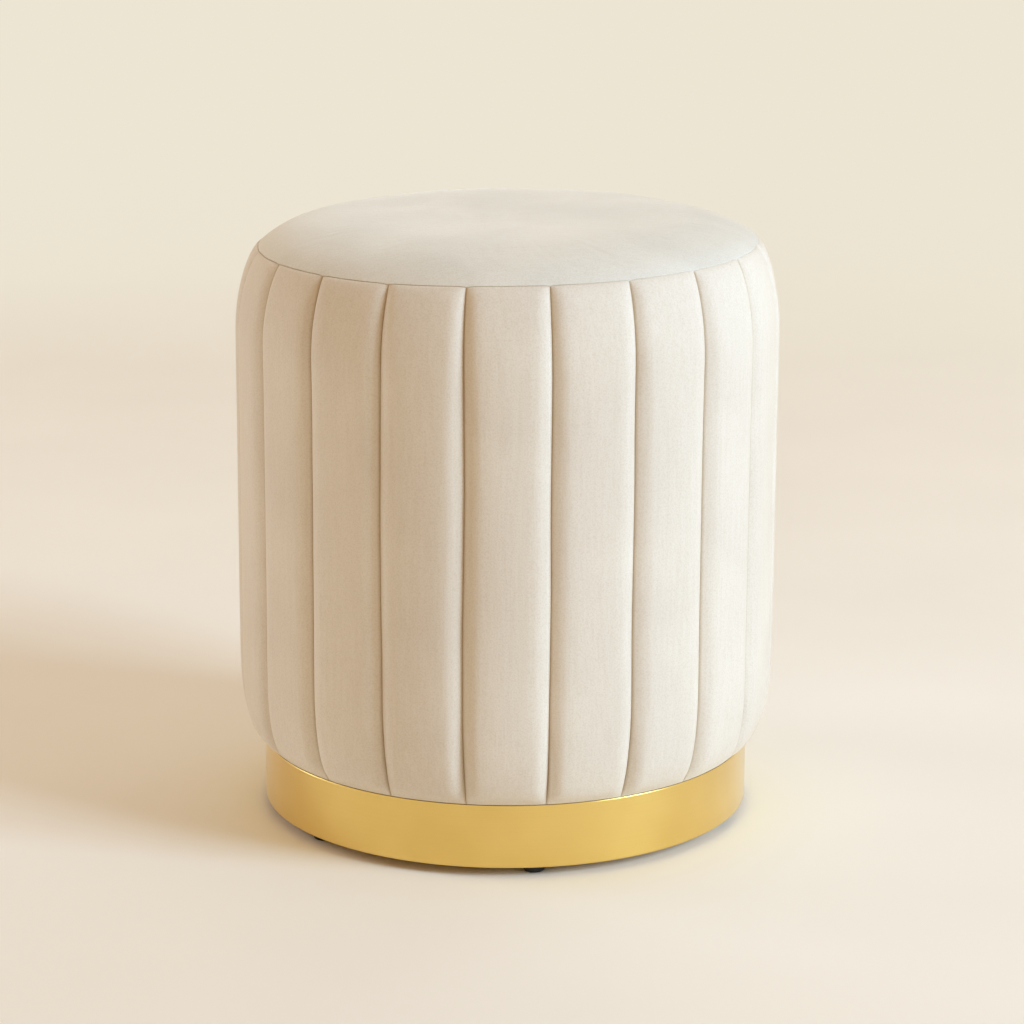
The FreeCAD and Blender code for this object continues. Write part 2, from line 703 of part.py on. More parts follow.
def top_cover():
    """Crowned velvet panel, sewn to the side cover along the top seam."""
    outer = crowned_solid(crown_points(0))
    under = rim_at_height(crown_points(value("Sizes.cover_thickness")), value(SEAM_HEIGHT))
    return soft_piece("top_cover", outer.cut(crowned_solid(under)))


def seat_foam():
    """Crowned foam seat on the top board."""
    radius = value(DRUM_RADIUS)
    drop = value("Sizes.cover_thickness") + value("Sizes.clearance")
    surface = rim_at_radius(crown_points(drop), radius)
    return soft_piece("seat_foam", crowned_solid([(radius, value(TOP_BOARD_TOP)), *surface]))


def build():
    """Make every piece of the stool."""
    glide_total = round(value("Sizes.glide_count"))
    channel_total = round(value("Sizes.channel_count"))
    pieces = [glides(), dust_cover(), plinth_band()]
    pieces += [plinth_lower_ring(), plinth_upper_ring()]
    pieces += plinth_blocks(glide_total)
    pieces += [plinth_nails(), plinth_bolts(), bolt_nuts()]
    pieces += [base_board(), top_board()]
    pieces += posts(glide_total)
    pieces += [frame_nails(), drum_wrap(), side_cover(channel_total)]
    pieces += channel_pads(channel_total)
    pieces += [seat_foam(), top_cover()]
    return pieces


def check(pieces):
    """Stop if any object failed or any piece is empty or broken."""
    for part in doc.Objects:
        if {"Invalid", "Error"} & set(part.State):
            raise RuntimeError(f"{part.Name} failed: {part.State}")
    for piece in pieces:
        if piece.Shape.isNull() or not piece.Shape.isValid() or not piece.Shape.Solids:
            raise RuntimeError(f"{piece.Label} has no valid solid")


def write(pieces):
    """Write one file for each piece."""
    os.makedirs("parts", exist_ok=True)
    for piece in pieces:
        piece.Shape.exportStep(os.path.join("parts", piece.Label + ".step"))
        print(piece.Label, len(piece.Shape.Solids), round(piece.Shape.Volume))


stool = build()
doc.recompute()
check(stool)
write(stool)
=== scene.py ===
"""Looks of a round upholstered stool: ivory velvet channels over a satin gold plinth band.

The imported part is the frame. The soft goods, the band, the glides and the felt are
surfaces worked out here with numpy in the same frame: +Z is up, the front faces -Y,
and angles round the stool are measured from the front towards +X. Sizes are in
millimetres until a mesh is made.
"""

import bpy
import math
import numpy as np
from mathutils import Matrix, Vector


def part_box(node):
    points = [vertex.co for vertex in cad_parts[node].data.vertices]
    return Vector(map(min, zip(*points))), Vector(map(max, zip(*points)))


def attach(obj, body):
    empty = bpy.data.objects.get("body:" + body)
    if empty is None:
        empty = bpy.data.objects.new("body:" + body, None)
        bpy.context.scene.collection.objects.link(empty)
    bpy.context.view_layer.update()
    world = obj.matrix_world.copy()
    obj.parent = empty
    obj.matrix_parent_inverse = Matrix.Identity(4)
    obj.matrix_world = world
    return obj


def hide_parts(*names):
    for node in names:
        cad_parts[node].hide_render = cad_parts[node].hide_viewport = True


MM = 0.001
TAU = 2 * math.pi

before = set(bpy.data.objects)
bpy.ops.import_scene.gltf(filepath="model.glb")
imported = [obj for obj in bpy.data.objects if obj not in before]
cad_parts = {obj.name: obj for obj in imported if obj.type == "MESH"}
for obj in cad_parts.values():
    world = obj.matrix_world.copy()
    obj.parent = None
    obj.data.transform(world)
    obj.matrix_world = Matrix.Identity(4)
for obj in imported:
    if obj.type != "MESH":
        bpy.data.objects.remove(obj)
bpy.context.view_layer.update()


def low_corner(node):
    """Lowest corner of a CAD node, in millimetres."""
    return np.array(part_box(node)[0]) / MM


def high_corner(node):
    """Highest corner of a CAD node, in millimetres."""
    return np.array(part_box(node)[1]) / MM


# ---------------------------------------------------------------- sizes, in millimetres
CHANNELS = 20
HEIGHT = high_corner("top_cover")[2]
SEAT_FOOT = low_corner("seat_foam")[2]
SEAM_HEIGHT = high_corner("side_cover")[2]
SEAM_RADIUS = 182.0
FULL_RADIUS = high_corner("side_cover")[0]
BAND_RADIUS = high_corner("plinth_band")[0]
BAND_FOOT = low_corner("plinth_band")[2]
BAND_TOP = high_corner("plinth_band")[2]
BAND_SHEET = 0.8
BAND_JOINT = 0.4
RING_INNER = 131.9
WRAP_RADIUS = high_corner("drum_wrap")[0] + 0.2
HEM_RADIUS = 163.2
GLIDE_COUNT = 6
GLIDE_CIRCLE = 166.0
GLIDE_TURN = math.radians(7)
FELT_STAPLES = 24
STITCH_PITCH = 5.2

# The crest of a channel: its shoulder under the seam, and its tuck over the band.
SHOULDER_RISE = 58.0
SHOULDER_SQUARENESS = 1.63
TUCK_RISE = 90.0
TUCK_DEPTH = 35.0
TUCK_SQUARENESS = 3.74
CROWN_SQUARENESS = 7.5

# The sewn lines: how far they lie under the crest, how they bend at their ends, their crease and V, and the
# width of the painted shade along the crease.
GROOVE_DEPTH = 6.0
FLAT_SHARE = 0.60
LINE_REACH_TOP = 62.0
LINE_REACH_FOOT = 78.0
LINE_BEND = 2.2
END_NOTCH = 0.6
CREASE_DEPTH = 0.6
CREASE_SHADE_WIDTH = 0.45
SEAM_TILT = 3.2
SEAM_V_DEPTH = 0.7
SEAM_V_SHARE = 0.10

BACKDROP = "#ede5d3"

# Every wander of a hand-sewn line comes from this one seeded source.
chance = np.random.default_rng(20)
LINE_PHASES = chance.uniform(0, TAU, (CHANNELS, 3))
LINE_SWINGS = chance.normal(0, 1, (CHANNELS, 3)) * np.array([0.34, 0.10, 0.05])
PAD_FULLNESS = chance.normal(0, 0.035, CHANNELS)


def linear(hex_colour):
    """Linear RGBA of an sRGB hex colour."""
    parts = [int(hex_colour[i:i + 2], 16) / 255 for i in (1, 3, 5)]
    return [p / 12.92 if p <= 0.04045 else ((p + 0.055) / 1.055) ** 2.4 for p in parts] + [1.0]


# ---------------------------------------------------------------- meshes
def mesh_object(name, points, faces):
    """Smooth-shaded object from millimetre points and faces, at the origin."""
    mesh = bpy.data.meshes.new(name)
    mesh.from_pydata((points * MM).tolist(), [], faces)
    mesh.polygons.foreach_set("use_smooth", np.ones(len(mesh.polygons), bool))
    mesh.update()
    thing = bpy.data.objects.new(name, mesh)
    bpy.context.scene.collection.objects.link(thing)
    return thing


def grid_mesh(name, points, wrap_rows=False, wrap_columns=True):
    """Object from a rows x columns x 3 array of millimetres, with quads between neighbours."""
    rows, columns = points.shape[:2]
    index = np.arange(rows * columns).reshape(rows, columns)
    low = index if wrap_rows else index[:-1]
    high = np.roll(index, -1, 0) if wrap_rows else index[1:]
    if wrap_columns:
        low_next, high_next = np.roll(low, -1, 1), np.roll(high, -1, 1)
    else:
        low, low_next = low[:, :-1], low[:, 1:]
        high, high_next = high[:, :-1], high[:, 1:]
    quads = np.stack([low, low_next, high_next, high], -1).reshape(-1, 4)
    return mesh_object(name, points.reshape(-1, 3), quads.tolist())


def capped_mesh(name, points, centres, copies=1):
    """Object from rings of points closed at both ends by fans round two centre points.

    Several copies side by side are a first axis of the arrays: copies x rings x columns x 3.
    """
    rings = points.reshape(copies, -1, *points.shape[-2:])
    rows, columns = rings.shape[1:3]
    own = rows * columns + 2
    index = np.arange(rows * columns).reshape(rows, columns)
    lower, upper = index[:-1], index[1:]
    quads = np.stack([lower, np.roll(lower, -1, 1), np.roll(upper, -1, 1), upper], -1).reshape(-1, 4)
    first, last = index[0], index[-1]
    low = np.stack([np.roll(first, -1), first, np.full(columns, own - 2)], -1)
    high = np.stack([last, np.roll(last, -1), np.full(columns, own - 1)], -1)
    step = own * np.arange(copies)[:, None, None]
    faces = (quads + step).reshape(-1, 4).tolist() + (np.vstack([low, high]) + step).reshape(-1, 3).tolist()
    ends = np.asarray(centres, float).reshape(copies, 2, 3)
    all_points = np.concatenate([rings.reshape(copies, -1, 3), ends], 1)
    return mesh_object(name, all_points.reshape(-1, 3), faces)


def around(radius, angle, height):
    """Points at a radius and an angle from the front, as an array of millimetres."""
    radius, angle, height = np.broadcast_arrays(radius, angle, height)
    return np.stack([radius * np.sin(angle), -radius * np.cos(angle), height], -1)


def mark(thing, name, amounts):
    """Write one number per point of a piece, for its material to read."""
    layer = thing.data.attributes.new(name, "FLOAT", "POINT")
    layer.data.foreach_set("value", np.asarray(amounts, np.float32).ravel())


def placed(thing, material, slot, *nodes):
    """Give a piece its material, set it on the body, and let it stand for its CAD nodes; the slot is not
    used.
    """
    thing.data.materials.clear()
    thing.data.materials.append(material)
    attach(thing, "root")
    if nodes:
        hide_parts(*nodes)


def filled_out(thing, held, pressure, cap):
    """Let cloth fill out over its pads: air pressure inside, held where it is sewn or tucked away.

    Each point goes the way the simulation takes it, by cap * tanh(move / cap), so the form
    stays within the cap of its pattern.
    """
    group = thing.vertex_groups.new(name="held")
    group.add(np.flatnonzero(held).tolist(), 1.0, "REPLACE")
    cloth = thing.modifiers.new("fill_out", "CLOTH")
    cloth.settings.quality = 5
    cloth.settings.vertex_group_mass = "held"
    cloth.settings.use_pressure = True
    cloth.settings.uniform_pressure_force = pressure
    cloth.settings.effector_weights.gravity = 0
    cloth.collision_settings.use_collision = False
    steps = 16
    cloth.point_cache.frame_start, cloth.point_cache.frame_end = 1, steps
    for step in range(1, steps + 1):
        bpy.context.scene.frame_set(step)
    count = len(thing.data.vertices)
    start, moved = np.zeros(count * 3), np.zeros(count * 3)
    thing.data.vertices.foreach_get("co", start)
    settled = thing.evaluated_get(bpy.context.evaluated_depsgraph_get()).to_mesh()
    settled.vertices.foreach_get("co", moved)
    move = (moved - start).reshape(-1, 3) / MM
    size = np.linalg.norm(move, axis=1, keepdims=True) + 1e-9
    kept = move * np.tanh(size / cap) * cap / size * MM
    thing.data.vertices.foreach_set("co", start + kept.ravel())
    thing.modifiers.remove(cloth)
    thing.vertex_groups.remove(group)
    bpy.context.scene.frame_set(1)
    print("filled out", thing.name, "most", round(float(size.max()), 2), "mm before the cap")


# ---------------------------------------------------------------- the stool's curves
def drawn_in(share, squareness):
    """Fullness of a channel at a share of the way along its end curve."""
    return (1 - np.clip(share, 0, 1) ** squareness) ** (1 / squareness)


def crest_radius(height):
    """Radius of the middle of a channel at a height: superellipse tuck, straight barrel, shoulder."""
    shoulder = (height - (SEAM_HEIGHT - SHOULDER_RISE)) / SHOULDER_RISE
    above = SEAM_RADIUS + (FULL_RADIUS - SEAM_RADIUS) * drawn_in(shoulder, SHOULDER_SQUARENESS)
    tuck = (BAND_TOP + TUCK_RISE - height) / TUCK_RISE
    below = FULL_RADIUS - TUCK_DEPTH + TUCK_DEPTH * drawn_in(tuck, TUCK_SQUARENESS)
    return np.where(shoulder > 0, above, np.maximum(below, BAND_RADIUS))


def sewn_radius(height):
    """Radius of a sewn line at a height: it is taut, so it bends less than the pads at both ends.

    From the seam or the band it comes out by 1 - (1 - d / reach)^bend, d the distance from there.
    """
    above = np.clip((SEAM_HEIGHT - height) / LINE_REACH_TOP, 0, 1)
    below = np.clip((height - BAND_TOP) / LINE_REACH_FOOT, 0, 1)
    barrel = FULL_RADIUS - GROOVE_DEPTH
    at_seam, at_band = SEAM_RADIUS - END_NOTCH, BAND_RADIUS - END_NOTCH
    upper = at_seam + (barrel - at_seam) * (1 - (1 - above) ** LINE_BEND)
    lower = at_band + (barrel - at_band) * (1 - (1 - below) ** LINE_BEND)
    return np.minimum(upper, lower)


def line_wander(height):
    """Sideways wander of each sewn line at each height, three slow sines a line, 310 to 70 mm long."""
    waves = TAU * height[:, None, None] / np.array([310.0, 150.0, 70.0])
    return (LINE_SWINGS * np.sin(waves + LINE_PHASES)).sum(-1)


def seam_lift(angle):
    """Height by which the seat panel sits off level, going round: a tilt and a slight roll."""
    return SEAM_TILT * np.sin(angle) + 0.30 * np.sin(3 * angle + 0.7) + 0.22 * np.sin(7 * angle + 2.1) + 0.2


def seam_wander(angle):
    """Height of the top seam off its level: the panel's lift, drawn into a small V at each sewn line."""
    across = 2 * np.mod(angle * CHANNELS / TAU + 0.5, 1) - 1
    return seam_lift(angle) - SEAM_V_DEPTH * np.exp(-((1 - np.abs(across)) / SEAM_V_SHARE) ** 2)


def seam_gape_and_shade(angle):
    """How far the top seam gapes, 0 to 1 going round: open at the left, closed at the right, and how dark the
    painted shade along the seam is, darkest at the left, away from the light.
    """
    return 0.5 - 0.4 * np.sin(angle) + 0.1 * np.sin(5 * angle + 0.6)


# ---------------------------------------------------------------- materials
def add_node(tree, kind, inputs=(), links=(), stops=(), **settings):
    """Add a shader node with its settings, input values, links from sockets and (place, hex) colour stops."""
    made = tree.nodes.new(kind)
    for name, setting in settings.items():
        setattr(made, name, setting)
    for number, (position, colour) in enumerate(stops):
        element = made.color_ramp.elements[number] if number < 2 else made.color_ramp.elements.new(position)
        element.position = position
        element.color = linear(colour)
    for socket, number in dict(inputs).items():
        made.inputs[socket].default_value = number
    for socket, source in dict(links).items():
        tree.links.new(source, made.inputs[socket])
    return made


def new_material(name, **shader):
    """Material with a Principled shader and its constant values; returns it, its tree and its shader."""
    material = bpy.data.materials.new(name)
    material.use_nodes = True
    tree = material.node_tree
    principled = tree.nodes["Principled BSDF"]
    for socket, number in shader.items():
        principled.inputs[socket.replace("_", " ")].default_value = number
    return material, tree, principled


def velvet(name, nap_stretch, tones):
    """Ivory polyester velvet, a dense short pile that scatters softly and glows at grazing angles.

    The eye sees a fine speckle of pile tips, faint streaks of nap along the cloth,
    and broad patches where the pile was brushed one way or the other. Along each
    sewn line and the top seam the colour is darker: painted shade of the crease,
    partly where the pile parts there. Pile tips are 0.3 mm apart on the
    real cloth and are drawn at 1.2 mm, the finest that shows.
    """
    material, tree, shader = new_material(
        name, Roughness=0.9, Specular_IOR_Level=0.2,
        Sheen_Weight=0.5, Sheen_Roughness=0.4, Sheen_Tint=linear("#fff8ec"),
    )
    place = add_node(tree, "ShaderNodeTexCoord").outputs["Object"]
    stretched = add_node(
        tree, "ShaderNodeMapping", {"Scale": nap_stretch}, {"Vector": place},
    ).outputs["Vector"]
    patches = add_node(
        tree, "ShaderNodeTexNoise", {"Scale": 11.0, "Detail": 2.0, "Roughness": 0.5, "Distortion": 0.4},
        {"Vector": place},
    )
    streaks = add_node(
        tree, "ShaderNodeTexNoise", {"Scale": 360.0, "Detail": 3.0, "Roughness": 0.6},
        {"Vector": stretched},
    )
    pile = add_node(
        tree, "ShaderNodeTexNoise", {"Scale": 830.0, "Detail": 2.0, "Roughness": 0.75}, {"Vector": place},
    )
    broad = add_node(
        tree, "ShaderNodeValToRGB", links={"Fac": patches.outputs["Fac"]}, stops=tones,
    ).outputs["Color"]
    nap = add_node(
        tree, "ShaderNodeValToRGB", links={"Fac": streaks.outputs["Fac"]},
        stops=[(0.30, "#e2d8c8"), (0.70, "#ffffff")],
    ).outputs["Color"]
    tips = add_node(
        tree, "ShaderNodeValToRGB", links={"Fac": pile.outputs["Fac"]},
        stops=[(0.32, "#d8ccba"), (0.56, "#ffffff")],
    ).outputs["Color"]
    # Darker along the sewn lines and the seam: painted shade of the creases, partly where the pile parts. The
    # ramp named thread carries this shade.
    crease_parting_and_shade = add_node(tree, "ShaderNodeAttribute", attribute_name="sewn").outputs["Fac"]
    thread = add_node(
        tree, "ShaderNodeValToRGB", links={"Fac": crease_parting_and_shade},
        stops=[(0.0, "#ffffff"), (0.5, "#ece5da"), (1.0, "#cdbea8")],
    ).outputs["Color"]
    brushed = add_node(
        tree, "ShaderNodeMix", {0: 0.16}, {6: broad, 7: nap}, data_type="RGBA", blend_type="MULTIPLY",
    ).outputs[2]
    cloth = add_node(
        tree, "ShaderNodeMix", {0: 0.26}, {6: brushed, 7: tips}, data_type="RGBA", blend_type="MULTIPLY",
    ).outputs[2]
    crease_shaded_cloth = add_node(
        tree, "ShaderNodeMix", {0: 1.0}, {6: cloth, 7: thread}, data_type="RGBA", blend_type="MULTIPLY",
    ).outputs[2]
    tree.links.new(crease_shaded_cloth, shader.inputs["Base Color"])
    relief = add_node(
        tree, "ShaderNodeBump", {"Strength": 0.24, "Distance": 0.0004}, {"Height": pile.outputs["Fac"]},
    )
    lay = add_node(
        tree, "ShaderNodeBump", {"Strength": 0.07, "Distance": 0.0012},
        {"Height": streaks.outputs["Fac"], "Normal": relief.outputs["Normal"]},
    )
    tree.links.new(lay.outputs["Normal"], shader.inputs["Normal"])
    return material


def brushed_gold(name):
    """Stainless sheet with a gold vapour coat, satin brushed round the band and lacquered.

    It mirrors the floor dimly. Fine scratches run round the band, so highlights
    stretch up and down into soft upright bars. Scratches are 0.05 mm apart on the real
    sheet and are drawn at 0.4 mm, the finest that shows.
    """
    material, tree, shader = new_material(
        name, Metallic=1.0, Roughness=0.28, Anisotropic=0.62, Anisotropic_Rotation=0.25,
        Coat_Weight=1.0, Coat_Roughness=0.32,
    )
    uv = add_node(tree, "ShaderNodeUVMap", uv_map="Brushing").outputs["UV"]
    fine = add_node(
        tree, "ShaderNodeMapping", {"Scale": (9.0, 110.0, 1.0)}, {"Vector": uv},
    ).outputs["Vector"]
    scratch = add_node(
        tree, "ShaderNodeTexNoise", {"Scale": 1.0, "Detail": 5.0, "Roughness": 0.7}, {"Vector": fine},
    )
    place = add_node(tree, "ShaderNodeTexCoord").outputs["Object"]
    cloudy = add_node(tree, "ShaderNodeTexNoise", {"Scale": 14.0, "Detail": 2.0}, {"Vector": place})
    tone = add_node(
        tree, "ShaderNodeValToRGB", links={"Fac": cloudy.outputs["Fac"]},
        stops=[(0.35, "#e9c76d"), (0.65, "#efcf77")],
    ).outputs["Color"]
    line = add_node(
        tree, "ShaderNodeValToRGB", links={"Fac": scratch.outputs["Fac"]},
        stops=[(0.3, "#f6eddb"), (0.7, "#ffffff")],
    ).outputs["Color"]
    brushed = add_node(
        tree, "ShaderNodeMix", {0: 0.4}, {6: tone, 7: line}, data_type="RGBA", blend_type="MULTIPLY",
    ).outputs[2]
    tree.links.new(brushed, shader.inputs["Base Color"])
    relief = add_node(
        tree, "ShaderNodeBump", {"Strength": 0.10, "Distance": 0.0001}, {"Height": scratch.outputs["Fac"]},
    )
    tree.links.new(relief.outputs["Normal"], shader.inputs["Normal"])
    tangent = add_node(tree, "ShaderNodeTangent", direction_type="RADIAL", axis="Z")
    tree.links.new(tangent.outputs["Tangent"], shader.inputs["Tangent"])
    return material


def moulded_nylon(name):
    """Black moulded nylon: an even satin skin, scuffed dull where it slides on floors."""
    material, tree, shader = new_material(name, Specular_IOR_Level=0.45)
    place = add_node(tree, "ShaderNodeTexCoord").outputs["Object"]
    skin = add_node(tree, "ShaderNodeTexNoise", {"Scale": 1400.0, "Detail": 2.0}, {"Vector": place})
    scuffs = add_node(
        tree, "ShaderNodeTexNoise", {"Scale": 300.0, "Detail": 4.0, "Roughness": 0.7}, {"Vector": place},
    )
    colour = add_node(
        tree, "ShaderNodeValToRGB", links={"Fac": scuffs.outputs["Fac"]},
        stops=[(0.4, "#1b1a19"), (0.75, "#2b2927")],
    ).outputs["Color"]
    tree.links.new(colour, shader.inputs["Base Color"])
    rough = add_node(
        tree, "ShaderNodeMapRange", {"From Min": 0.3, "From Max": 0.7, "To Min": 0.38, "To Max": 0.62},
        {"Value": scuffs.outputs["Fac"]},
    )
    tree.links.new(rough.outputs["Result"], shader.inputs["Roughness"])
    relief = add_node(
        tree, "ShaderNodeBump", {"Strength": 0.15, "Distance": 0.0001}, {"Height": skin.outputs["Fac"]},
    )
    tree.links.new(relief.outputs["Normal"], shader.inputs["Normal"])
    return material


def spunbond_felt(name):
    """Black spunbond lining felt: matt crossed fibres with a grid of pressed bond points 1.6 mm apart."""
    material, tree, shader = new_material(name, Roughness=0.95, Specular_IOR_Level=0.15, Sheen_Weight=0.2)
    place = add_node(tree, "ShaderNodeTexCoord").outputs["Object"]
    fibres = add_node(
        tree, "ShaderNodeTexNoise", {"Scale": 900.0, "Detail": 4.0, "Distortion": 1.2}, {"Vector": place},
    )
    bonds = add_node(tree, "ShaderNodeTexVoronoi", {"Scale": 625.0, "Randomness": 0.15}, {"Vector": place})
    colour = add_node(
        tree, "ShaderNodeValToRGB", links={"Fac": fibres.outputs["Fac"]},
        stops=[(0.3, "#151515"), (0.7, "#2c2c2d")],
    ).outputs["Color"]
    tree.links.new(colour, shader.inputs["Base Color"])
    pressed = add_node(
        tree, "ShaderNodeBump", {"Strength": 0.5, "Distance": 0.0002},
        {"Height": bonds.outputs["Distance"]},
    )
    tree.links.new(pressed.outputs["Normal"], shader.inputs["Normal"])
    return material


def plywood(name):
    """Sanded birch plywood: long pale grain on its faces and 1.5 mm plies, light and dark, on its edges."""
    material, tree, shader = new_material(name, Roughness=0.62, Specular_IOR_Level=0.35)
    coordinates = add_node(tree, "ShaderNodeTexCoord")
    place = coordinates.outputs["Object"]
    along = add_node(
        tree, "ShaderNodeMapping", {"Scale": (9.0, 190.0, 60.0)}, {"Vector": place},
    ).outputs["Vector"]
    grain = add_node(
        tree, "ShaderNodeTexNoise", {"Scale": 1.0, "Detail": 5.0, "Roughness": 0.6, "Distortion": 0.5},
        {"Vector": along},
    )
    face = add_node(
        tree, "ShaderNodeValToRGB", links={"Fac": grain.outputs["Fac"]},
        stops=[(0.30, "#c9a876"), (0.55, "#d9bd8f"), (0.75, "#e3cba2")],
    ).outputs["Color"]
    plies = add_node(
        tree, "ShaderNodeTexWave", {"Scale": 105.0, "Distortion": 0.6, "Detail": 1.0}, {"Vector": place},
        bands_direction="Z",
    )
    edge = add_node(
        tree, "ShaderNodeValToRGB", links={"Fac": plies.outputs["Fac"]},
        stops=[(0.35, "#a9824f"), (0.50, "#c9a876"), (0.65, "#dcc296")],
    ).outputs["Color"]
    up = add_node(
        tree, "ShaderNodeSeparateXYZ", links={"Vector": coordinates.outputs["Normal"]},
    ).outputs["Z"]
    level = add_node(tree, "ShaderNodeMath", links={0: up}, operation="ABSOLUTE").outputs[0]
    flat = add_node(tree, "ShaderNodeMath", {1: 0.7}, {0: level}, operation="GREATER_THAN")
    surface = add_node(
        tree, "ShaderNodeMix", links={0: flat.outputs[0], 6: edge, 7: face}, data_type="RGBA",
    )
    tree.links.new(surface.outputs[2], shader.inputs["Base Color"])
    pores = add_node(
        tree, "ShaderNodeBump", {"Strength": 0.2, "Distance": 0.0003}, {"Height": grain.outputs["Fac"]},
    )
    tree.links.new(pores.outputs["Normal"], shader.inputs["Normal"])
    return material


def planed_pine(name, grain_scale):
    """Planed pine: yellow early wood and narrow brown late wood, with fine pores along it.

    Flat-sawn faces cut the rings at a slant, so they show them 8 to 12 mm apart.
    """
    material, tree, shader = new_material(name, Roughness=0.6, Specular_IOR_Level=0.35)
    place = add_node(tree, "ShaderNodeTexCoord").outputs["Object"]
    along = add_node(tree, "ShaderNodeMapping", {"Scale": grain_scale}, {"Vector": place}).outputs["Vector"]
    rings = add_node(
        tree, "ShaderNodeTexWave", {"Scale": 52.0, "Distortion": 3.0, "Detail": 2.0, "Detail Scale": 0.6},
        {"Vector": along}, bands_direction="DIAGONAL",
    )
    pores = add_node(tree, "ShaderNodeTexNoise", {"Scale": 700.0, "Detail": 3.0}, {"Vector": along})
    early = add_node(
        tree, "ShaderNodeValToRGB", links={"Fac": rings.outputs["Fac"]},
        stops=[(0.10, "#e0bf88"), (0.72, "#d8b276"), (0.95, "#b98a52")],
    ).outputs["Color"]
    fine = add_node(
        tree, "ShaderNodeValToRGB", links={"Fac": pores.outputs["Fac"]},
        stops=[(0.3, "#e0cdae"), (0.6, "#ffffff")],
    ).outputs["Color"]
    wood = add_node(
        tree, "ShaderNodeMix", {0: 0.45}, {6: early, 7: fine}, data_type="RGBA", blend_type="MULTIPLY",
    ).outputs[2]
    tree.links.new(wood, shader.inputs["Base Color"])
    relief = add_node(
        tree, "ShaderNodeBump", {"Strength": 0.15, "Distance": 0.0003}, {"Height": pores.outputs["Fac"]},
    )
    tree.links.new(relief.outputs["Normal"], shader.inputs["Normal"])
    return material


def tempered_hardboard(name):
    """Hardboard, pressed brown wood fibre with a smooth face: mottled fibres about 1 mm long."""
    material, tree, shader = new_material(name, Roughness=0.55, Specular_IOR_Level=0.4)
    place = add_node(tree, "ShaderNodeTexCoord").outputs["Object"]
    fibres = add_node(
        tree, "ShaderNodeTexNoise", {"Scale": 700.0, "Detail": 6.0, "Roughness": 0.7, "Distortion": 1.5},
        {"Vector": place},
    )
    clouds = add_node(tree, "ShaderNodeTexNoise", {"Scale": 22.0, "Detail": 2.0}, {"Vector": place})
    base = add_node(
        tree, "ShaderNodeValToRGB", links={"Fac": fibres.outputs["Fac"]},
        stops=[(0.30, "#5d4028"), (0.50, "#77543a"), (0.70, "#93704f")],
    ).outputs["Color"]
    shade = add_node(
        tree, "ShaderNodeValToRGB", links={"Fac": clouds.outputs["Fac"]},
        stops=[(0.35, "#d9cbbd"), (0.65, "#ffffff")],
    ).outputs["Color"]
    board = add_node(
        tree, "ShaderNodeMix", {0: 0.6}, {6: base, 7: shade}, data_type="RGBA", blend_type="MULTIPLY",
    ).outputs[2]
    tree.links.new(board, shader.inputs["Base Color"])
    relief = add_node(
        tree, "ShaderNodeBump", {"Strength": 0.15, "Distance": 0.0002}, {"Height": fibres.outputs["Fac"]},
    )
    tree.links.new(relief.outputs["Normal"], shader.inputs["Normal"])
    return material


def zinc_plate(name):
    """Clear zinc-plated steel: bluish grey, slightly clouded, with fine machining marks."""
    material, tree, shader = new_material(name, Metallic=1.0)
    place = add_node(tree, "ShaderNodeTexCoord").outputs["Object"]
    clouds = add_node(tree, "ShaderNodeTexNoise", {"Scale": 350.0, "Detail": 3.0}, {"Vector": place})
    marks = add_node(tree, "ShaderNodeTexNoise", {"Scale": 2200.0, "Detail": 2.0}, {"Vector": place})
    colour = add_node(
        tree, "ShaderNodeValToRGB", links={"Fac": clouds.outputs["Fac"]},
        stops=[(0.35, "#aab0b4"), (0.65, "#c6cacb")],
    ).outputs["Color"]
    tree.links.new(colour, shader.inputs["Base Color"])
    rough = add_node(
        tree, "ShaderNodeMapRange", {"To Min": 0.25, "To Max": 0.45}, {"Value": clouds.outputs["Fac"]},
    )
    tree.links.new(rough.outputs["Result"], shader.inputs["Roughness"])
    relief = add_node(
        tree, "ShaderNodeBump", {"Strength": 0.1, "Distance": 0.00005}, {"Height": marks.outputs["Fac"]},
    )
    tree.links.new(relief.outputs["Normal"], shader.inputs["Normal"])
    return material


def drawn_wire(name):
    """Bright drawn steel wire: grey, with die lines along it and specks of dull oxide."""
    material, tree, shader = new_material(name, Metallic=1.0)
    place = add_node(tree, "ShaderNodeTexCoord").outputs["Object"]
    along = add_node(
        tree, "ShaderNodeMapping", {"Scale": (1.0, 1.0, 0.08)}, {"Vector": place},
    ).outputs["Vector"]
    lines = add_node(tree, "ShaderNodeTexNoise", {"Scale": 2600.0, "Detail": 2.0}, {"Vector": along})
    oxide = add_node(tree, "ShaderNodeTexNoise", {"Scale": 500.0, "Detail": 4.0}, {"Vector": place})
    colour = add_node(
        tree, "ShaderNodeValToRGB", links={"Fac": oxide.outputs["Fac"]},
        stops=[(0.45, "#9b9a97"), (0.72, "#77736d")],
    ).outputs["Color"]
    tree.links.new(colour, shader.inputs["Base Color"])
    rough = add_node(
        tree, "ShaderNodeMapRange", {"To Min": 0.28, "To Max": 0.55}, {"Value": oxide.outputs["Fac"]},
    )
    tree.links.new(rough.outputs["Result"], shader.inputs["Roughness"])
    relief = add_node(
        tree, "ShaderNodeBump", {"Strength": 0.15, "Distance": 0.00005}, {"Height": lines.outputs["Fac"]},
    )
    tree.links.new(relief.outputs["Normal"], shader.inputs["Normal"])
    return material


